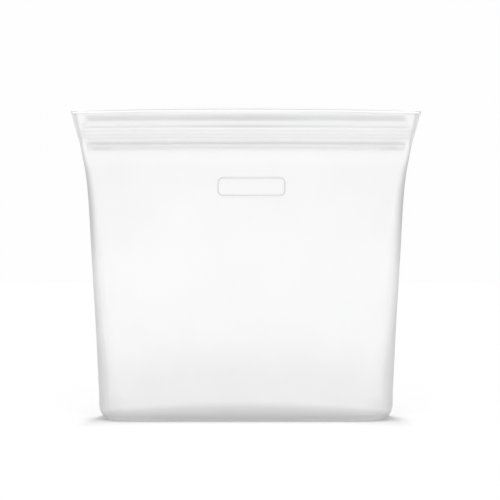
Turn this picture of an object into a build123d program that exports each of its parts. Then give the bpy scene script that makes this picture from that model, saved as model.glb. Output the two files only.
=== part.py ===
from build123d import *
import math
import os

# Stand-up silicone storage bag with a press-to-close zip, shown closed.
# +X runs along the mouth, +Y towards the back and +Z up. The origin is the middle of the
# face that the bag stands on. The bag is one moulding. It is drawn here as the regions
# that bend against each other, so that its mouth can open.

# Driving dimensions, in millimetres.
WALL = 1.6                 # thickness of the skin
BASE_HALF_WIDTH = 78.9
BASE_HALF_DEPTH = 28.0
BASE_CORNER = 18.0         # plan radius of the base's corners
BASE_EDGE = 8.5            # radius of the rolled bottom edge
PAN_TOP = 14.0             # where the walls start to swing
FLOOR = 2.2
WAIST_Z = 118.0            # the sides flare out from here up
WAIST_HALF_WIDTH = 85.1
ZIP_BOTTOM = 145.0
ZIP_TOP = 160.4
RIM_BOTTOM = 164.8
RIM_TOP = 167.8
CORNER_TOP = 166.5         # the rim is lower at its ends than in the middle
ZIP_HALF_WIDTH = 89.2      # outer half width at the zip's lower edge
MOUTH_HALF_WIDTH = 95.2    # outer half width at the top corners
NECK_HALF_DEPTH = 3.0      # outer half depth where the walls meet the zip
NECK_CORNER = 2.8          # plan radius of the body's corners there

PARTING = 0.15             # each inner face stands this far off the middle plane
BAND_THICKNESS = 3.2       # of the front or back zip band
LIP_THICKNESS = 1.9        # of the thin web between zip and rim
RIM_THICKNESS = 3.0
RIM_BEVEL = 0.8
RIDGE = 0.45               # depth of the grip ridges on the bands
RIDGE_HEIGHTS = (147.4, 150.1, 152.2, 154.4, 156.5, 159.3)
RIDGE_WIDTH = 1.7
RIB_HEIGHTS = (149.0, 155.5)
RIB_ROOT = 2.4
RIB_TIP = 1.4
RIB_REACH = 2.0            # how far a rib stands across the middle plane
RIB_PLAY = 0.25            # clearance round a rib in its groove
RIB_END = 80.0             # the ribs stop short of the mouth's corners

SLOT = 0.35                # half the gap between two regions that bend
HINGE_GAP = 0.4            # above the base pan, under a wall that swings
WING_GAP = 4.0             # and under a wing, whose lower end is nearly a point
SEAM_START = 85.6          # inner end of the solid mouth corners, at the zip's lower edge
SEAM_START_TOP = 87.2      # and at the rim, where a wing needs more room to turn
BAND_END = 85.0
CORNER_HALF_DEPTH = 3.25   # of the solid mouth corners, at their inner end
CORNER_SHOULDER = 2.85     # and where they start to run out to a point
POINT_LENGTH = 1.7         # of that point, at the zip's lower edge
POINT_LENGTH_TOP = 4.6     # and at the rim
CREASE_BOTTOM = 61.4       # half width of the flat walls at the base
CREASE_TOP = 85.2          # and at the zip
FOLD_TOP = 22.0            # half width of the middle panel, at FOLD_TOP_Z
FOLD_TOP_Z = 156.0
FAR = 200.0                # longer than the bag, for cutting solids

LABEL_WIDTH = 37.0
LABEL_HEIGHT = 10.0
LABEL_X = 3.0
LABEL_Z = 125.0
LABEL_LINE = 1.0
LABEL_CORNER = 2.5
LABEL_PROUD = 0.4

LEAN = (BASE_HALF_DEPTH - NECK_HALF_DEPTH) / (ZIP_BOTTOM - PAN_TOP)


def between(z, z0, v0, z1, v1):
    """The value at height z on the line from v0 at z0 to v1 at z1."""
    return v0 + (v1 - v0) * (z - z0) / (z1 - z0)


def wall_depth(z):
    """Outer half depth of the bag below the zip."""
    return BASE_HALF_DEPTH - LEAN * (z - PAN_TOP)


def crease(z):
    """Half width of the flat front and back walls, where they turn into the sides."""
    return between(z, PAN_TOP, CREASE_BOTTOM, ZIP_BOTTOM, CREASE_TOP)


def fold(z):
    """Half width of the middle panel, which narrows upward between its two fold lines."""
    return between(z, PAN_TOP, CREASE_BOTTOM, FOLD_TOP_Z, FOLD_TOP)


def front_view(points, to_back=False):
    """A prism with that outline in X and Z, from the middle plane out to the front or the back."""
    plane = Plane.XZ.offset(-FAR) if to_back else Plane.XZ
    return extrude(plane * Polygon(*points, align=None), amount=FAR)


def both_sides(points):
    """A prism with that outline in X and Z, from in front of the bag to behind it."""
    return extrude(Plane.XZ * Polygon(*points, align=None), amount=FAR, both=True)


def along_x(points):
    """A long bar with that outline in Y and Z."""
    return extrude(Plane.YZ * Polygon(*points, align=None), amount=FAR / 2, both=True)


def middle_outline(low, high):
    """Outline of the middle panel between two heights, clear of its fold lines."""
    return [
        (-fold(low) + SLOT, low),
        (fold(low) - SLOT, low),
        (fold(high) - SLOT, high),
        (-fold(high) + SLOT, high),
    ]


def left_outline(low, high, end_low, end_high):
    """Outline of the left wing between two heights, out to the given ends."""
    return [
        (-fold(low) - SLOT, low),
        (-fold(high) - SLOT, high),
        (-end_high, high),
        (-end_low, low),
    ]


def three_regions(bar, low, high, to_back=False):
    """A bar cut into the pieces that ride on the middle panel and on its two wings."""
    middle = bar & front_view(middle_outline(low, high), to_back)
    left = bar & front_view(left_outline(low, high, BAND_END, BAND_END), to_back)
    return {"": middle, "_left": left, "_right": mirror(left, about=Plane.YZ)}


def wall_bar():
    """Section of the front wall, which leans back to the zip."""
    low = PAN_TOP + HINGE_GAP
    across = WALL * math.hypot(1, LEAN)
    return along_x(
        [
            (-wall_depth(low), low),
            (-wall_depth(low) + across, low),
            (-wall_depth(ZIP_BOTTOM) + across, ZIP_BOTTOM),
            (-wall_depth(ZIP_BOTTOM), ZIP_BOTTOM),
        ]
    )


def front_walls():
    bar = wall_bar()
    middle = bar & front_view(middle_outline(PAN_TOP, ZIP_BOTTOM))
    low = PAN_TOP + WING_GAP
    ends = crease(low) - SLOT, crease(ZIP_BOTTOM) - SLOT
    left = bar & front_view(left_outline(low, ZIP_BOTTOM, *ends))
    return {"": middle, "_left": left, "_right": mirror(left, about=Plane.YZ)}


def band_bar():
    """Section of the front zip band, with grip ridges on its outer face."""
    outer = -PARTING - BAND_THICKNESS
    points = [(outer + RIDGE, ZIP_BOTTOM)]
    for z in RIDGE_HEIGHTS:
        for rise, y in ((-0.5, RIDGE), (-0.25, 0), (0.25, 0), (0.5, RIDGE)):
            points.append((outer + y, z + rise * RIDGE_WIDTH))
    points += [(outer + RIDGE, ZIP_TOP), (-PARTING, ZIP_TOP), (-PARTING, ZIP_BOTTOM)]
    return along_x(points)


def groove_bar(play):
    """Both ribs of the zip, grown by the play all round, on the back side of the middle plane."""
    bars = []
    for z in RIB_HEIGHTS:
        root, tip, reach = RIB_ROOT / 2 + play, RIB_TIP / 2 + play, RIB_REACH + play
        bars.append(
            along_x([(-PARTING, z - root), (-PARTING, z + root), (reach, z + tip), (reach, z - tip)])
        )
    return bars


def front_bands():
    return three_regions(band_bar(), ZIP_BOTTOM, ZIP_TOP)


def back_bands():
    bar = mirror(band_bar(), about=Plane.XZ)
    for groove in groove_bar(RIB_PLAY):
        bar -= groove
    return three_regions(bar, ZIP_BOTTOM, ZIP_TOP, to_back=True)


def front_ribs():
    """Two ribs in each region, which press into the grooves of the back band."""
    middle = both_sides(middle_outline(ZIP_BOTTOM, ZIP_TOP))
    left = both_sides(left_outline(ZIP_BOTTOM, ZIP_TOP, RIB_END, RIB_END))
    ribs = {"": [bar & middle for bar in groove_bar(0)], "_left": [bar & left for bar in groove_bar(0)]}
    ribs["_right"] = [mirror(rib, about=Plane.YZ) for rib in ribs["_left"]]
    return {side: Compound(children=pair) for side, pair in ribs.items()}


def crown():
    """A huge drum whose top gives the rim its slight arch."""
    drop = RIM_TOP - CORNER_TOP
    radius = (MOUTH_HALF_WIDTH**2 + drop**2) / (2 * drop)
    return Location((0, 0, RIM_TOP - radius), (90, 0, 0)) * Cylinder(radius, FAR)


def lip_bar():
    """Section of the front lip: the thin web that a thumb finds."""
    outer = -PARTING - LIP_THICKNESS
    return along_x(
        [(outer, ZIP_TOP), (outer, RIM_BOTTOM), (-PARTING, RIM_BOTTOM), (-PARTING, ZIP_TOP)]
    )


def rim_bar():
    """Section of the front rim: a bead along the top of the lip."""
    outer = -PARTING - RIM_THICKNESS
    return along_x(
        [
            (outer + RIM_BEVEL, RIM_BOTTOM),
            (outer, RIM_BOTTOM + RIM_BEVEL),
            (outer, RIM_TOP - RIM_BEVEL),
            (outer + RIM_BEVEL, RIM_TOP),
            (-PARTING, RIM_TOP),
            (-PARTING, RIM_BOTTOM),
        ]
    )


def front_lips():
    return three_regions(lip_bar(), ZIP_TOP, RIM_BOTTOM)


def front_rims():
    regions = three_regions(rim_bar(), RIM_BOTTOM, RIM_TOP)
    drum = crown()
    return {side: region & drum for side, region in regions.items()}


def plan(z, half_width, half_depth, radius):
    """A level rounded rectangle at height z."""
    return Plane.XY.offset(z) * RectangleRounded(2 * half_width, 2 * half_depth, radius)


def tapered(inset):
    """The bag's body below the zip, drawn in by the inset all round."""
    sections = [
        (PAN_TOP, BASE_HALF_WIDTH, BASE_CORNER),
        (WAIST_Z, WAIST_HALF_WIDTH, WAIST_HALF_WIDTH - crease(WAIST_Z)),
        (ZIP_BOTTOM, ZIP_HALF_WIDTH, NECK_CORNER),
    ]
    faces = [
        plan(z, width - inset, wall_depth(z) - inset, radius - inset)
        for z, width, radius in sections
    ]
    return loft(faces, ruled=True)


def left_side():
    """The left side wall with its two rounded edges, from the base to the zip."""
    outline = [
        (-crease(PAN_TOP) - SLOT, PAN_TOP),
        (-crease(ZIP_BOTTOM) - SLOT, ZIP_BOTTOM),
        (-FAR / 2, ZIP_BOTTOM),
        (-FAR / 2, PAN_TOP),
    ]
    return (tapered(0) - tapered(WALL)) & both_sides(outline)


def left_corner():
    """The solid corner of the mouth, drawn out to a point where front and back meet."""

    def section(z, start, point_length, tip):
        points = [
            (-start, -CORNER_HALF_DEPTH),
            (-start, CORNER_HALF_DEPTH),
            (-tip + point_length, CORNER_SHOULDER),
            (-tip, 0),
            (-tip + point_length, -CORNER_SHOULDER),
        ]
        return Plane.XY.offset(z) * Polygon(*points, align=None)

    low = section(ZIP_BOTTOM, SEAM_START, POINT_LENGTH, ZIP_HALF_WIDTH)
    high = section(RIM_TOP, SEAM_START_TOP, POINT_LENGTH_TOP, MOUTH_HALF_WIDTH)
    return loft([low, high], ruled=True) & crown()


def base_pan():
    """The floor with its rolled edge, flat underneath so that the bag stands up."""
    outer = extrude(plan(0, BASE_HALF_WIDTH, BASE_HALF_DEPTH, BASE_CORNER), amount=PAN_TOP)
    outer = fillet(outer.edges().group_by(Axis.Z)[0], BASE_EDGE)
    inner = extrude(
        plan(FLOOR, BASE_HALF_WIDTH - WALL, BASE_HALF_DEPTH - WALL, BASE_CORNER - WALL),
        amount=PAN_TOP,
    )
    inner = fillet(inner.edges().group_by(Axis.Z)[0], BASE_EDGE - WALL)
    return outer - inner


def label_frame():
    """A plain raised outline on the front wall, where contents can be written."""
    y = -wall_depth(LABEL_Z)
    tilt = math.degrees(math.atan(LEAN))
    ring = RectangleRounded(LABEL_WIDTH, LABEL_HEIGHT, LABEL_CORNER)
    inner_size = LABEL_WIDTH - 2 * LABEL_LINE, LABEL_HEIGHT - 2 * LABEL_LINE
    ring -= RectangleRounded(*inner_size, LABEL_CORNER - LABEL_LINE)
    upright = Location((LABEL_X, y, LABEL_Z), (90 - tilt, 0, 0))
    return extrude(upright * ring, amount=LABEL_PROUD)


def nodes():
    """Every node of the bag, by name."""
    made = {"base_pan": base_pan(), "label_frame": label_frame()}
    for name, shape in (("side", left_side()), ("mouth_corner", left_corner())):
        made[f"left_{name}"] = shape
        made[f"right_{name}"] = mirror(shape, about=Plane.YZ)
    for name, regions in (("wall", front_walls()), ("lip", front_lips()), ("rim", front_rims())):
        for side, shape in regions.items():
            made[f"front_{name}{side}"] = shape
            made[f"back_{name}{side}"] = mirror(shape, about=Plane.XZ)
    for name, regions in (("front_zip_band", front_bands()), ("back_zip_band", back_bands())):
        for side, shape in regions.items():
            made[name + side] = shape
    for side, shape in front_ribs().items():
        made[f"front_zip_ribs{side}"] = shape
    return made


os.makedirs("parts", exist_ok=True)
for name, shape in nodes().items():
    export_step(shape, f"parts/{name}.step")
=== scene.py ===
import math

import bpy
import numpy as np
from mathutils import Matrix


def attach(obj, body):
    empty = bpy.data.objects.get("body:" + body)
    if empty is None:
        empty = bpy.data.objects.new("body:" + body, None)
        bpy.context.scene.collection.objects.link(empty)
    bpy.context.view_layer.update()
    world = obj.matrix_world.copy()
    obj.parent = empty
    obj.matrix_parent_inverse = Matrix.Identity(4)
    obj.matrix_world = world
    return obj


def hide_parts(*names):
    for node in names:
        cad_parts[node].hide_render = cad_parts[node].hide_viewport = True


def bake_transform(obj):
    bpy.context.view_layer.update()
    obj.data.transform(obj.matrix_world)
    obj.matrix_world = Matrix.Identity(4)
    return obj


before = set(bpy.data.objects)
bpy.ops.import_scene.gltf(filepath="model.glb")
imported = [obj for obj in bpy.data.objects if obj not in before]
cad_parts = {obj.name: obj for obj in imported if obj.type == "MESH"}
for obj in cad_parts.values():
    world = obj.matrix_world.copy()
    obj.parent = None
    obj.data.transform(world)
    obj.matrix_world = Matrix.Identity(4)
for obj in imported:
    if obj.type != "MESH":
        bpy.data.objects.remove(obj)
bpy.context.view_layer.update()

MM = 0.001

# ---------------------------------------------------------------------------------------
# The bag's form, in millimetres: X across the front, Y to the back, Z up from the floor.
# A quarter of the bag is drawn at -X, -Y and mirrored. A list of pairs gives a value for each height.

HALF_WIDTH = [(0, 78.6), (12, 78.8), (26, 79.5), (47, 80.6), (69, 82.0), (91, 83.4), (118, 85.15),
              (131, 86.6), (139, 88.1), (148, 89.9), (156, 92.2), (161, 93.6), (166, 95.0)]
HALF_DEPTH = [(0, 28.0), (10, 28.0), (24, 26.9), (60, 20.3), (100, 12.2), (133, 5.2), (141, 3.6), (145, 2.5),
              (151, 1.9), (168, 1.7)]
CORNER = [(0, 18.0), (14, 18.0), (60, 12.5), (100, 7.0), (133, 2.8), (145, 1.7), (168, 1.5)]
WALL = 1.6
MOUTH_HALF_WIDTH = 95.0

# The base
PAN_TOP = 14.0
FLOOR = 2.2
BASE_EDGE = 8.5              # radius of the rolled bottom edge
FLATTENED = 0.8              # how much of that edge the bag's weight flattens

# The zip and the rim: how far the outside stands off the middle plane, ridge by ridge
RELIEF = [(145.05, 3.2), (145.25, 3.4), (146.1, 3.4), (146.7, 3.2), (147.4, 3.45), (147.9, 3.2),
          (148.6, 2.55), (149.4, 3.1), (150.1, 3.4), (151.1, 3.3), (151.5, 3.0), (152.1, 3.4), (152.8, 3.05),
          (153.3, 3.05), (154.3, 3.5), (155.2, 3.1), (156.2, 3.5), (156.9, 3.2), (157.3, 2.8), (157.8, 3.1),
          (158.8, 3.4), (159.6, 3.35), (160.2, 3.0), (161.7, 1.8), (163.4, 2.3), (164.5, 3.2), (165.2, 3.2),
          (166.3, 2.7), (166.8, 2.4), (167.2, 2.5), (167.55, 2.2), (167.75, 1.2), (167.8, 0.15)]
ZIP_BOTTOM = 145.0
ZIP_TOP = 160.4
RIM_BOTTOM = 164.6
TOP = 167.8
ZIP_DROP = 0.45              # how much lower the zip block is at its ends than in the middle
ZIP_DROP_FROM = 138          # the height where that starts
RIM_DROP = 0.95              # the same for the rim, on top of the zip's
RIM_DROP_FROM = 164
BLOCK_ENDS = [(145, 85.6), (149, 86.0), (153, 87.8), (159, 88.2), (162, 86.5), (168, 86.5)]
BLOCK_FADE = [(145, 0.5), (147, 0.5), (151, 2.6), (160, 2.6), (163, 1.5), (168, 1.5)]

# The seam strip that runs down each end of the zip
STRIP_WIDTH = [(143, 1.4), (147.5, 1.6), (152, 2.5), (158, 2.6), (162, 2.9), (166, 3.5)]
STRIP_PROUD = 0.6
STRIP_RISE = (148, 158)
STRIP_EDGE = (0.75, 1.05)    # as a share of its width
STRIP_ROUNDING = 1.0
RIM_RISE = 0.8
TIP_ROUNDING = 1.5

# The inside of the mouth
SLIT = 0.15                  # each inner face of the zip stands this far off the middle plane
SLIT_END = 86.0
CLOSING = (139, 146.4)       # heights between which the inside narrows to the slit
SLIT_CORNER = 0.1
LEAST_CORNER = 0.5           # radius of the inside's corners, where the outside's are too small for the wall
RIB_HEIGHTS = (149.0, 155.5)
RIB_PROUD = 2.0
RIB_FLANK = (0.7, 1.2)
RIB_END = 81.0
RIB_TAPER = 1.5
GROOVE_PLAY = 0.25

TINY = 0.02                  # the first and last step between rows: shading then runs on into the next piece
CLOSE = 0.05                 # a distance too small to see

# The finely divided middle of the front reaches to a knee, which is near the corner low down and at the end
# of the zip block higher up.
KNEE_SHARE = 0.965
KNEE_AT_BLOCK = 85.6
KNEE_SHIFT = (118, 144)


def smooth(points, x):
    """A smooth curve through the points that never overshoots them."""
    px, py = np.array(points, float).T
    x = np.asarray(x, float)
    h = np.diff(px)
    d = np.diff(py) / h
    m = np.zeros(len(px))
    m[0], m[-1] = d[0], d[-1]
    for i in range(1, len(px) - 1):
        if d[i - 1] * d[i] > 0:
            m[i] = 2 * d[i - 1] * d[i] / (d[i - 1] + d[i])
    k = np.clip(np.searchsorted(px, x, side="right") - 1, 0, len(h) - 1)
    t = np.clip((x - px[k]) / h[k], 0, 1)
    return ((1 + 2 * t) * (1 - t) ** 2 * py[k] + t * (1 - t) ** 2 * h[k] * m[k]
            + t * t * (3 - 2 * t) * py[k + 1] + t * t * (t - 1) * h[k] * m[k + 1])


def rise(low, high, x):
    """0 up to low, 1 from high on, and a smooth ramp between."""
    t = np.clip((np.asarray(x, float) - low) / (high - low), 0, 1)
    return t * t * (3 - 2 * t)


def fall(low, high, x):
    """1 up to low, 0 from high on, and a smooth ramp between."""
    return 1 - rise(low, high, x)


# Fractions along each stretch of a quarter section, from the middle of the side to the middle of the front.
# The first and last steps are tiny here too.
SIDE = np.r_[0, 0.004, np.linspace(0, 1, 7)[1:]]
ARC = np.radians(np.linspace(0, 90, 15)[1:])
OUTER = np.linspace(0, 1, 15)[1:]
INNER = np.r_[np.linspace(0, 1, 45)[1:-1], 0.9995, 1]


def section(a, b, r, knee):
    """x and y of a quarter of a rounded rectangle: half width a, half depth b, corner radius r."""
    r = min(r, b, a)
    xs = [np.full(len(SIDE), -a), -(a - r) - r * np.cos(ARC)]
    ys = [-(b - r) * SIDE, -(b - r) - r * np.sin(ARC)]
    knee = min(knee, KNEE_SHARE * (a - r))
    front = np.r_[-(a - r) + (a - r - knee) * OUTER, -knee * (1 - INNER)]
    return np.concatenate(xs + [front]), np.concatenate(ys + [np.full(len(front), -b)])


def knee_at(z):
    """Half width of the column that the zip block ends on."""
    a, r = smooth(HALF_WIDTH, z), smooth(CORNER, z)
    return fall(*KNEE_SHIFT, z) * KNEE_SHARE * (a - r) + rise(*KNEE_SHIFT, z) * KNEE_AT_BLOCK


def arch(x, z):
    """How much lower than in the middle the zip and the rim lie at x."""
    drop = ZIP_DROP * rise(ZIP_DROP_FROM, ZIP_BOTTOM, z) + RIM_DROP * rise(RIM_DROP_FROM, TOP, z)
    return -(x / MOUTH_HALF_WIDTH) ** 2 * drop


def block_share(x, z):
    """1 on the zip block, 0 beyond its ends."""
    end, fade = smooth(BLOCK_ENDS, z), smooth(BLOCK_FADE, z)
    return fall(end - fade, end + fade, abs(x))


def outer_row(z, depth=None):
    """The bag's outside at height z. Where depth is given, it is that of the zip block or rim."""
    a, b, r = (float(smooth(c, z)) for c in (HALF_WIDTH, HALF_DEPTH, CORNER))
    x, y = section(a, b, r, knee_at(z))
    if depth is not None:
        edge = a + x
        strip = STRIP_PROUD * rise(*STRIP_RISE, z) * fall(*STRIP_EDGE, edge / smooth(STRIP_WIDTH, z))
        end = -y + strip * np.clip(edge / STRIP_ROUNDING, 0, 1)
        tip = np.sqrt(np.clip(1 - (1 - np.clip(edge / TIP_ROUNDING, 0, 1)) ** 2, 0, 1))
        end = end + rise(RIM_BOTTOM, RIM_BOTTOM + RIM_RISE, z) * (depth * tip - end)
        share = block_share(x, z)
        y = -(share * depth + (1 - share) * end)
        if z == TOP:
            y = np.where(-x > SLIT_END - CLOSE, 0, -SLIT)
    return np.stack([x, y, z + arch(x, z)], 1)


def rib(z, play):
    """How far the rib, or its groove, stands off the inner face at height z."""
    low, high = RIB_FLANK
    return max(float(RIB_PROUD * fall(low + play, high + play, abs(z - h))) for h in RIB_HEIGHTS)


def inner_row(z, ribs):
    """The bag's inside at height z. ribs is 1 for the face with the ribs and -1 for the one with grooves."""
    shut = float(rise(*CLOSING, z))
    a = (1 - shut) * (float(smooth(HALF_WIDTH, z)) - WALL) + shut * SLIT_END
    b = (1 - shut) * max(float(smooth(HALF_DEPTH, z)) - WALL, SLIT) + shut * SLIT
    r = (1 - shut) * max(float(smooth(CORNER, z)) - WALL, LEAST_CORNER) + shut * SLIT_CORNER
    x, y = section(a, b, r, min(float(knee_at(z)), a - r - CLOSE))
    along = fall(RIB_END - RIB_TAPER, RIB_END, -x)
    on_face = abs(y) > SLIT * 0.99
    y = y + ribs * rib(z, GROOVE_PLAY if ribs < 0 else 0) * along * on_face * np.clip(shut * 2 - 1, 0, 1)
    return np.stack([x, y, z + arch(x, z)], 1)


def heights(low, high, spacing):
    """Heights from low to high, with tiny first and last steps."""
    n = max(2, round((high - low) / spacing))
    inside = np.linspace(low, high, n + 1)[1:-1]
    return np.r_[low, low + TINY, inside, high - TINY, high]


# ---------------------------------------------------------------------------------------
# Tone: painted shade, from 0, none, to 1, the darkest. It darkens the colour; where it dips below 0 it is a
# slight painted light.

# Painted shade in a band down each side, where the wall turns away from the front.
SIDE_BAND = [(0, 15.0), (10, 12.0), (24, 13.0), (36, 10.0), (50, 6.3), (66, 5.4), (91, 4.6), (118, 5.5),
             (132, 4.6), (142, 2.8), (166, 2.0)]
SIDE_TONE = [(0, 0.44), (10, 0.40), (24, 0.44), (36, 0.41), (50, 0.40), (63, 0.33), (76, 0.26), (91, 0.34),
             (118, 0.52), (140, 0.50), (150, 0.40), (166, 0.30)]
FLAT_SHARE = 0.45            # of the side's tone, in the middle of the side
EDGE_SHARE = 0.7             # of it, at the very edge low down
EDGE_WIDTH = (0, 2)
EDGE_TOP = (40, 50)
SIDE_END = (147, 156)

# Painted shade at the foot, darkest on the rolled bottom edge and fading up the wall.
FOOT_TONE = [(0, 0.70), (3, 0.69), (5, 0.65), (8.3, 0.46), (9.6, 0.32), (10.6, 0.21), (14, 0.20), (24, 0.18),
             (42, 0.07), (60, 0.02), (75, 0)]
FOOT_SPREAD = 75.0           # half width over which the foot's tone changes towards the corners
FOOT_DROP = 4.0              # how much lower its tone lies at the corners
FOOT_CUT = 0.4               # how much of its tone is gone above the corners
FOOT_CUT_ACROSS = (50, 72)
FOOT_CUT_UP = (11, 15)
UNDER = (-0.4, 2.2)          # the underside's shadow does the darkening below these heights
UNDER_AT_CORNER = 1.3

# A broad painted shade over the wall, lifted near the sides, turning to a slight painted light just under the
# zip.
BROAD_SHADE_TONE = [(8, 0), (20, 0.03), (35, 0.05), (90, 0.05), (125, 0.06), (134, 0.05), (141, -0.03)]
BROAD_SHADE_END = (138, 144)
BESIDE = (6.5, 10.5)         # distance from the side within which the broad painted shade is lifted
BESIDE_LOW = 6.0             # how much farther it is lifted low down
BESIDE_LOW_TOP = (40, 70)
BESIDE_TOP = (75, 92)
BESIDE_LIFT = 2.4
WING_TONE = 0.04
WING_ACROSS = (30, 75)
WING_UP = (85, 100)
# the tone may dip this far below 0, a slight painted light
LIGHTEST = -0.03

# Painted shade on the inside, near each side.
INSIDE_TONE = 0.5
INSIDE_BAND = 0.4            # of the side band's width
INSIDE_FADE = (0.6, 1.5)
INSIDE_TOP = 140

# Painted shade in bands across the zip block, darker in its grooves; the value below 0 is a painted light
# along a ridge.
BLOCK_TONE = [(145, 0.03), (145.5, 0.13), (146.1, 0.22), (147, 0.06), (147.6, 0.21), (148.3, 0.14),
              (149.2, 0.03), (150.3, 0.08), (151.2, 0.05), (152, 0), (155.8, 0), (156.5, -0.14), (157.3, 0),
              (160.4, 0)]
BLOCK_END_CUT = 0.6
BLOCK_END_ACROSS = (79, 86)
RIDGE_TONE = 0.09
GROOVE_TONE = 0.26
RIDGE_DEPTH = 3.4
GROOVE_RANGE = 0.9
# Local painted shades on the block: tone, then the ramps where it comes in and goes out, across and upward.
BLOCK_SHADES = [(0.2, None, (0, 55), (157.0, 157.6), (158.2, 159.2)),
                (0.14, (70, 78), (80, 88), None, (146.6, 147.6)),
                (0.05, (70, 80), None, (148.6, 149.2), (150, 152))]
BLOCK_TOP = 160.2

# Painted shade in the cove between the zip and the rim, darkest in its hollow.
COVE_TONE = 0.14
COVE_RISE = (160.4, 161.6)
COVE_HOLLOW_TONE = 0.24
COVE_HOLLOW = (1.8, 3.2)
COVE_MIDDLE_TONE = 0.08
COVE_MIDDLE = (0, 45)
COVE_END = (164.2, 165.0)

# Painted shade along the seam strip, and on the patch between the block's end and the strip.
STRIP_TONE = 0.46
STRIP_TONE_UP = (143, 149)
STRIP_TONE_IN = (0.05, 0.5)
STRIP_TONE_OUT = (0.8, 1.1)
PATCH_TONE = 0.22            # between the block's end and the strip
PATCH_IN = (150.5, 152.5)
PATCH_OUT = (155.5, 157.5)

# Painted shade along the rim, darkest along its top edge and lighter at the tips of the mouth.
CREST_TONE = [(164.6, 0), (165.2, 0.12), (166, 0.25), (166.4, 0.12), (166.9, 0.15), (167.25, 0.68),
              (167.8, 0.65)]
CREST_TIP_CUT = 0.7          # how much of it is gone at the tips of the mouth
CREST_TIP = (84, 92)
CREST_END_TONE = 0.2
CREST_SPREAD = 60.0
CREST_IN = (164.6, 165.2)
CREST_OUT = (166.0, 166.5)


def window(comes, goes, x):
    """1 between the ramp where it comes in and the ramp where it goes out. Either may be None."""
    share = 1.0
    if comes:
        share = share * rise(*comes, x)
    if goes:
        share = share * fall(*goes, x)
    return share


def side_tone(y, z, edge):
    """Painted shade in a band down each side, fading inward from the edge and weaker on the flat middle of
    the side.
    """
    flat = smooth(HALF_DEPTH, z) - smooth(CORNER, z)
    on_flat = FLAT_SHARE + (1 - FLAT_SHARE) * rise(0, 1, abs(y) / flat)
    at_edge = EDGE_SHARE + (1 - EDGE_SHARE) * np.maximum(rise(*EDGE_WIDTH, edge), rise(*EDGE_TOP, z))
    return smooth(SIDE_TONE, z) * fall(0, 1, edge / smooth(SIDE_BAND, z)) * on_flat * at_edge


def wall_tone(x, y, z, edge):
    """Painted shade of the base and the walls: down the sides, at the foot and broadly over the wall."""
    spread = np.clip(abs(x) / FOOT_SPREAD, 0, 1)
    foot = smooth(FOOT_TONE, z + FOOT_DROP * spread ** 2)
    foot = foot * (1 - FOOT_CUT * rise(*FOOT_CUT_ACROSS, abs(x)) * rise(*FOOT_CUT_UP, z))
    under = rise(UNDER[0], UNDER[1] + UNDER_AT_CORNER * spread ** 4, z)
    beside = fall(BESIDE[0], BESIDE[1] + BESIDE_LOW * fall(*BESIDE_LOW_TOP, z), edge) * fall(*BESIDE_TOP, z)
    broad_shade = smooth(BROAD_SHADE_TONE, z) * (1 - BESIDE_LIFT * beside)
    broad_shade = broad_shade + WING_TONE * rise(*WING_ACROSS, abs(x)) * rise(*WING_UP, z)
    tone = np.maximum(side_tone(y, z, edge), foot) * under + broad_shade * fall(*BROAD_SHADE_END, z)
    return np.maximum(tone, LIGHTEST)


def block_tone(x, z):
    """Painted shade of the zip block's ridges and grooves and of the cove above them; where it dips below 0,
    a painted light.
    """
    depth = smooth(RELIEF, z)
    ridges = RIDGE_TONE + GROOVE_TONE * np.clip((RIDGE_DEPTH - depth) / GROOVE_RANGE, 0, 1)
    ridges = ridges + smooth(BLOCK_TONE, z) * (1 - BLOCK_END_CUT * rise(*BLOCK_END_ACROSS, abs(x)))
    for tone, comes_across, goes_across, comes_up, goes_up in BLOCK_SHADES:
        ridges = ridges + tone * window(comes_across, goes_across, abs(x)) * window(comes_up, goes_up, z)
    cove = COVE_TONE * rise(*COVE_RISE, z) + COVE_HOLLOW_TONE * fall(*COVE_HOLLOW, depth)
    cove = cove + COVE_MIDDLE_TONE * fall(*COVE_MIDDLE, abs(x))
    return np.where(z < BLOCK_TOP, ridges, cove * fall(*COVE_END, z))


def mouth_tone(x, y, z, edge):
    """Painted shade of the zip, the lip and the rim."""
    share = block_share(x, z)
    block = block_tone(x, z) * share + PATCH_TONE * window(PATCH_IN, PATCH_OUT, z) * (1 - share)
    side = side_tone(y, z, edge) * fall(*SIDE_END, z)
    into = edge / smooth(STRIP_WIDTH, z)
    strip = STRIP_TONE * rise(*STRIP_TONE_UP, z) * window(STRIP_TONE_IN, STRIP_TONE_OUT, into)
    ends = np.clip(abs(x) / CREST_SPREAD, 0, 1) ** 2
    crest = smooth(CREST_TONE, z) * (1 - CREST_TIP_CUT * rise(*CREST_TIP, abs(x)))
    crest = crest + CREST_END_TONE * ends * window(CREST_IN, CREST_OUT, z)
    return np.maximum.reduce([block, side, strip, crest])


def painted_shade(rows, zone):
    """The painted shade at each point of a grid of points."""
    x, y, z = np.moveaxis(np.array(rows), -1, 0)
    z = z - arch(x, z)
    edge = smooth(HALF_WIDTH, z) - abs(x)
    if zone == "inside":
        band = WALL + INSIDE_BAND * smooth(SIDE_BAND, z)
        return INSIDE_TONE * fall(*INSIDE_FADE, edge / band) * (z < INSIDE_TOP)
    if zone == "wall":
        return wall_tone(x, y, z, edge)
    return mouth_tone(x, y, z, edge)


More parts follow.
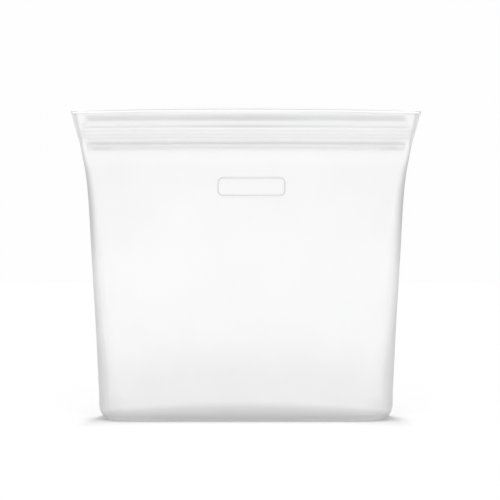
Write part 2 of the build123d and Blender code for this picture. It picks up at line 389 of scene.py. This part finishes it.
class Sheets:
    """Grids of points gathered into one mesh, mirrored into the wanted quarter."""

    def __init__(self, sx=1, sy=1):
        self.sign = np.array([sx, sy, 1.0])
        self.flip = sx * sy > 0
        self.verts, self.faces, self.painted_shade = [], [], []

    def grid(self, rows, outward=True, closed=False, zone=None):
        """Add a grid of points, joined into quads. A closed grid joins the end of each row to its start."""
        rows = np.array(rows)
        self.painted_shade.append((painted_shade(rows, zone) if zone else np.zeros(rows.shape[:2])).ravel())
        n, m = rows.shape[:2]
        base = sum(len(v) for v in self.verts)
        self.verts.append((rows * self.sign).reshape(-1, 3))
        i, j = np.meshgrid(np.arange(n - 1), np.arange(m if closed else m - 1), indexing="ij")
        k = (j + 1) % m
        quads = np.stack([i * m + j, i * m + k, (i + 1) * m + k, (i + 1) * m + j], -1).reshape(-1, 4) + base
        if self.flip == outward:
            quads = quads[:, ::-1]
        self.faces.append(quads)

    def object(self, name, material):
        """The finished mesh in the scene, with its tone, a painted shade, as a float attribute."""
        mesh = bpy.data.meshes.new(name)
        verts = np.concatenate(self.verts) * MM
        mesh.from_pydata(verts.tolist(), [], np.concatenate(self.faces).tolist())
        mesh.validate()
        mesh.shade_smooth()
        mesh.attributes.new("painted_shade", "FLOAT", "POINT").data.foreach_set("value", np.concatenate(self.painted_shade))
        mesh.materials.append(material)
        obj = bpy.data.objects.new(name, mesh)
        bpy.context.scene.collection.objects.link(obj)
        return obj


# ---------------------------------------------------------------------------------------
# Materials

SILICONE_IOR = 1.41
DARKENING = 0.5              # how much of its colour the painted shade takes away at a tone of 1
CLOUD_SCALE = 38.0
PATCH_SCALE = 90.0
GRAIN_SCALE = 2600.0
GRAIN_DEPTH = 0.00002        # in metres
NOISE_LOW = 0.3              # the noise mostly lies between these two
NOISE_HIGH = 0.7
ROUGHNESS_SPREAD = 0.05


def node(tree, kind, inputs=None, **settings):
    """A new node with its settings and its inputs' values."""
    made = tree.nodes.new(kind)
    for key, value in settings.items():
        setattr(made, key, value)
    for key, value in (inputs or {}).items():
        made.inputs[key].default_value = value
    return made


def noise(tree, scale, detail, roughness):
    """A new noise texture."""
    return node(tree, "ShaderNodeTexNoise", {"Scale": scale, "Detail": detail, "Roughness": roughness})


def map_range(tree, source, from_range, to_range, interpolation="LINEAR"):
    """The source, moved from one range to another."""
    ends = dict(zip(("From Min", "From Max", "To Min", "To Max"), (*from_range, *to_range)))
    made = node(tree, "ShaderNodeMapRange", ends, interpolation_type=interpolation)
    tree.links.new(source, made.inputs["Value"])
    return made.outputs["Result"]


def grey(value):
    """A grey as a colour."""
    return (value, value, value, 1)


def silicone(name, light, dark, transmission, roughness):
    """Frosted silicone: cloudy in its body, with a fine moulded grain and a soft sheen, and darkened where
    the mesh carries painted shade.
    """
    material = bpy.data.materials.new(name)
    material.use_nodes = True
    tree = material.node_tree
    link = tree.links.new
    shader = tree.nodes["Principled BSDF"]
    shader.inputs["IOR"].default_value = SILICONE_IOR
    shader.inputs["Transmission Weight"].default_value = transmission
    where = node(tree, "ShaderNodeTexCoord")

    cloud = noise(tree, CLOUD_SCALE, 3.0, 0.5)
    link(where.outputs["Object"], cloud.inputs["Vector"])
    tint = node(tree, "ShaderNodeValToRGB")
    for element, position, value in zip(tint.color_ramp.elements, (NOISE_LOW, NOISE_HIGH), (dark, light)):
        element.position = position
        element.color = grey(value)
    link(cloud.outputs["Fac"], tint.inputs["Fac"])
    # The attribute holds the painted shade; it darkens the base colour.
    amount = node(tree, "ShaderNodeAttribute", attribute_name="painted_shade")
    depth = node(tree, "ShaderNodeMath", {1: -DARKENING, 2: 1.0}, operation="MULTIPLY_ADD")
    link(amount.outputs["Fac"], depth.inputs[0])
    shade = node(tree, "ShaderNodeVectorMath", operation="SCALE")
    link(tint.outputs["Color"], shade.inputs[0])
    link(depth.outputs[0], shade.inputs["Scale"])
    link(shade.outputs["Vector"], shader.inputs["Base Color"])

    patch = noise(tree, PATCH_SCALE, 4.0, 0.6)
    link(where.outputs["Object"], patch.inputs["Vector"])
    rough = map_range(tree, patch.outputs["Fac"], (NOISE_LOW, NOISE_HIGH),
                      (roughness - ROUGHNESS_SPREAD, roughness + ROUGHNESS_SPREAD))
    link(rough, shader.inputs["Roughness"])

    grain = noise(tree, GRAIN_SCALE, 2.0, 0.6)
    link(where.outputs["Object"], grain.inputs["Vector"])
    bump = node(tree, "ShaderNodeBump", {"Strength": 0.5, "Distance": GRAIN_DEPTH})
    link(grain.outputs["Fac"], bump.inputs["Height"])
    link(bump.outputs["Normal"], shader.inputs["Normal"])
    return material


WALL_SILICONE = silicone("silicone_wall", 0.985, 0.965, 0.06, 0.50)
BASE_SILICONE = silicone("silicone_base", 0.985, 0.965, 0.06, 0.50)
ZIP_SILICONE = silicone("silicone_zip", 0.98, 0.96, 0.06, 0.45)
RIM_SILICONE = silicone("silicone_rim", 0.985, 0.97, 0.06, 0.45)
LABEL_SILICONE = silicone("silicone_label", 0.84, 0.81, 0.15, 0.35)

# ---------------------------------------------------------------------------------------
# The walls, in four quarters that meet at the middle of the mouth and down the middle of each side

WALL_SPACING = 2.4           # between rows of points
ZIP_SPACING = 0.3
RIM_SPACING = 1.2
WALL_GAP = 0.1               # the wall's last row stands this far below the zip,
LEDGE_GAP = 0.05             # and the block's first row this far above that height
RELIEF_SPACING = 0.35
LEAST_SPACING = 0.1          # between an even row and one of RELIEF's own
DRAWN = [z for z, _ in RELIEF]
EVEN = np.arange(145.3, 167.5, RELIEF_SPACING)
RELIEF_Z = sorted(DRAWN + [z for z in EVEN if min(abs(z - drawn) for drawn in DRAWN) > LEAST_SPACING])
WALL_Z = heights(PAN_TOP, ZIP_BOTTOM - WALL_GAP, WALL_SPACING)
SIDES = {"left": 1, "right": -1}
FACES = {"front": 1, "back": -1}


def relief_rows(low, high):
    """The height and depth of each row from low to high."""
    rows = [z for z in RELIEF_Z if low < z < high]
    first = [low + TINY] * (low >= ZIP_TOP)
    last = [high - TINY] * (high < TOP)
    return [(z, float(smooth(RELIEF, z))) for z in sorted([low, *first, *rows, *last, high])]


def quarter(face, side, kind):
    """One region of a quarter of the bag, outside and inside."""
    sheets = Sheets(SIDES[side], FACES[face])
    ribs = 1 if face == "front" else -1
    if kind == "wall":
        outside = [outer_row(z) for z in WALL_Z]
        inside_z = heights(PAN_TOP, ZIP_BOTTOM, WALL_SPACING)
    elif kind == "zip_band":
        rows = relief_rows(ZIP_BOTTOM + LEDGE_GAP, ZIP_TOP)
        outside = [outer_row(ZIP_BOTTOM - WALL_GAP)] + [outer_row(z, depth) for z, depth in rows]
        inside_z = heights(ZIP_BOTTOM, ZIP_TOP, ZIP_SPACING)
    else:
        outside = [outer_row(z, depth) for z, depth in relief_rows(ZIP_TOP, TOP)]
        inside_z = heights(ZIP_TOP, TOP, RIM_SPACING)
    sheets.grid(outside, zone=kind)
    sheets.grid([inner_row(z, ribs) for z in inside_z], outward=False, zone="inside")
    return sheets


# Each quarter is built as one mesh, and the model's parts that it covers are hidden.
KINDS = {"wall": WALL_SILICONE, "zip_band": ZIP_SILICONE, "rim": RIM_SILICONE}
for face in FACES:
    for side, sx in SIDES.items():
        for kind, material in KINDS.items():
            piece = quarter(face, side, kind).object(f"{face}_{kind}_{side}_skin", material)
            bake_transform(piece)
            nodes = [f"{face}_{kind}_{side}"] + [f"{face}_{kind}"] * (side == "left")
            if kind == "wall" and face == "front":
                nodes.append(f"{side}_side")
            if kind == "rim":
                nodes += [f"{face}_lip_{side}"] + [f"{face}_lip"] * (side == "left")
                nodes += [f"{side}_mouth_corner"] * (face == "front")
            if kind == "zip_band" and face == "front":
                nodes += [f"front_zip_ribs_{side}"] + ["front_zip_ribs"] * (side == "left")
            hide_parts(*nodes)

# ---------------------------------------------------------------------------------------
# The base

PAN_SPACING = 1.5            # between rows of points, in height
LEAST_RADIUS = 0.1           # of its corners, seen from above
EDGE_ROWS = 19               # round the rolled edge
FLOOR_ROWS = 12              # from the edge in to the middle


def ring(z, inset):
    """A whole section of the base at height z, drawn in by the inset."""
    a, b, r = (float(smooth(c, max(z, 0))) - inset for c in (HALF_WIDTH, HALF_DEPTH, CORNER))
    r = max(min(r, b), LEAST_RADIUS)
    x, y = section(a, b, r, KNEE_SHARE * (a - r))
    front = np.stack([x, y], 1)
    half = np.concatenate([front, front[-2::-1] * (-1, 1)])
    loop = np.concatenate([half, half[-2:0:-1] * (1, -1)])
    return np.column_stack([loop, np.full(len(loop), z)])


def pan(edge, floor, wall, top, sink=0.0):
    """Rows from the top of the pan, round its rolled edge, flattened by sink, and across its floor."""
    start = floor + edge - sink
    rows = [ring(z, wall) for z in heights(start, top, PAN_SPACING)[::-1]]
    last = math.degrees(math.asin(1 - sink / edge))
    for t in np.radians(np.linspace(0, last, EDGE_ROWS)[1:]):
        inset = wall + edge * (1 - math.cos(t))
        rows.append(ring(start - edge * math.sin(t), inset))
    middle = float(smooth(HALF_DEPTH, 0)) - CLOSE
    for inset in np.linspace(inset, middle, FLOOR_ROWS)[1:]:
        rows.append(ring(floor, inset))
    return rows


base = Sheets()
base.grid(pan(BASE_EDGE, 0.0, 0.0, PAN_TOP, FLATTENED), outward=False, closed=True, zone="wall")
base.grid(pan(BASE_EDGE - WALL, FLOOR, WALL, PAN_TOP), outward=True, closed=True, zone="inside")
base_skin = base.object("base_skin", BASE_SILICONE)
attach(base_skin, "base")
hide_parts("base_pan")

# ---------------------------------------------------------------------------------------
# The raised label outline

LABEL_ROUNDING = 0.28        # corner radius as a share of the height
LABEL_STEP = 1.5             # longest edge along the line
LABEL_SUNK = 0.05            # how far the line's feet reach into the wall
LABEL_PROFILE = [(-0.36, 0.7), (-0.15, 1.0), (0.15, 1.0), (0.36, 0.7)]    # shares of its width and height


def label(width, height, line, proud, centre_x, centre_z):
    """A rounded outline that follows the front wall and stands a little proud of it."""
    profile = [(-line / 2, -LABEL_SUNK)]
    profile += [(across * line, up * proud) for across, up in LABEL_PROFILE]
    profile += [(line / 2, -LABEL_SUNK)]
    rows = []
    for across, up in profile:
        w, h, r = width / 2 + across, height / 2 + across, height * LABEL_ROUNDING + across
        loop = []
        for sx, sz, start in ((1, 1, 0), (-1, 1, 90), (-1, -1, 180), (1, -1, 270)):
            for t in np.radians(start + np.linspace(0, 90, 9)):
                loop.append((sx * (w - r) + r * math.cos(t), sz * (h - r) + r * math.sin(t)))
        loop = np.array(loop)
        spread = []
        for p, q in zip(loop, np.roll(loop, -1, 0)):
            n = max(1, int(np.linalg.norm(q - p) / LABEL_STEP))
            spread += [p + (q - p) * k / n for k in range(n)]
        spread = np.array(spread)
        z = centre_z + spread[:, 1]
        rows.append(np.stack([centre_x + spread[:, 0], -smooth(HALF_DEPTH, z) - up, z], 1))
    count = min(len(r) for r in rows)
    sheets = Sheets()
    sheets.grid([r[:count] for r in rows], outward=True, closed=True)
    return sheets


label_sheets = label(width=36.0, height=9.5, line=0.9, proud=0.35, centre_x=3.0, centre_z=125.0)
label_skin = label_sheets.object("label_outline", LABEL_SILICONE)
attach(label_skin, "front_panel")
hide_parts("label_frame")

# ---------------------------------------------------------------------------------------
# Studio

FLOOR_REACH = 4000.0
FLOOR_POINTS = 9
FLOOR_DROP = 0.05            # the floor lies this far under the bag
FLOOR_GREY = 0.64
FLOOR_GLOW = 0.2             # the pale floor is lit a little from below
SKY_BRIGHT = 1.475
SKY_SIDES = 0.1              # how bright it still is to the sides
SKY_ACROSS = (0.3, 0.8)
SKY_BEHIND = 0.2             # how bright it still is behind the bag
SKY_BACKWARD = (-0.2, 0.4)
BACKDROP = 0.99
LIGHT_TILTS = (2, 6, 10, 15, 21)
LIGHT_ANGLE = 5
LIGHT_ENERGY = 0.41
EYE = (0.0022, -0.95, 0.0907)
LENS = 126.0


def flat_floor():
    """A wide pale floor under the bag."""
    sheets = Sheets()
    span = np.linspace(-FLOOR_REACH, FLOOR_REACH, FLOOR_POINTS)
    height = np.full(FLOOR_POINTS, -FLOOR_DROP)
    sheets.grid([np.stack([span, np.full(FLOOR_POINTS, y), height], 1) for y in span])
    material = bpy.data.materials.new("studio_floor")
    material.use_nodes = True
    shader = material.node_tree.nodes["Principled BSDF"]
    shader.inputs["Base Color"].default_value = grey(FLOOR_GREY)
    shader.inputs["Emission Color"].default_value = grey(1)
    shader.inputs["Emission Strength"].default_value = FLOOR_GLOW
    shader.inputs["Roughness"].default_value = 0.9
    shader.inputs["Specular IOR Level"].default_value = 0.1
    return sheets.object("studio_floor", material)


flat_floor()

scene = bpy.context.scene
scene.view_settings.view_transform = "Standard"

# The sky is bright in front and overhead and dims to the sides and behind. The camera sees it as plain white.
world = bpy.data.worlds.new("studio")
world.use_nodes = True
scene.world = world
tree = world.node_tree
link = tree.links.new
direction = node(tree, "ShaderNodeTexCoord")
split = node(tree, "ShaderNodeSeparateXYZ")
link(direction.outputs["Generated"], split.inputs[0])
across = node(tree, "ShaderNodeMath", operation="ABSOLUTE")
link(split.outputs["X"], across.inputs[0])
glow = node(tree, "ShaderNodeMath", operation="MULTIPLY")
link(map_range(tree, across.outputs[0], SKY_ACROSS, (SKY_BRIGHT, SKY_SIDES), "SMOOTHSTEP"), glow.inputs[0])
link(map_range(tree, split.outputs["Y"], SKY_BACKWARD, (1.0, SKY_BEHIND), "SMOOTHSTEP"), glow.inputs[1])
path = node(tree, "ShaderNodeLightPath")
choose = node(tree, "ShaderNodeMix", data_type="FLOAT")
link(path.outputs["Is Camera Ray"], choose.inputs["Factor"])
link(glow.outputs[0], choose.inputs["A"])
choose.inputs["B"].default_value = BACKDROP
background = tree.nodes["Background"]
background.inputs["Color"].default_value = grey(1)
link(choose.outputs["Result"], background.inputs["Strength"])

# Narrow lights, overhead and a little behind the bag: the floor shadow is soft in front of it and spreads
# little to the sides.
for tilt in LIGHT_TILTS:
    lamp = bpy.data.lights.new("top_light", "SUN")
    lamp.angle = math.radians(LIGHT_ANGLE)
    lamp.energy = LIGHT_ENERGY
    lamp_object = bpy.data.objects.new("top_light", lamp)
    lamp_object.rotation_euler = (math.radians(-tilt), 0, 0)
    scene.collection.objects.link(lamp_object)

camera = bpy.data.cameras.new("camera")
camera.lens = LENS
camera.clip_end = 20
eye = bpy.data.objects.new("camera", camera)
eye.location = EYE
eye.rotation_euler = (math.pi / 2, 0, 0)
scene.collection.objects.link(eye)
scene.camera = eye
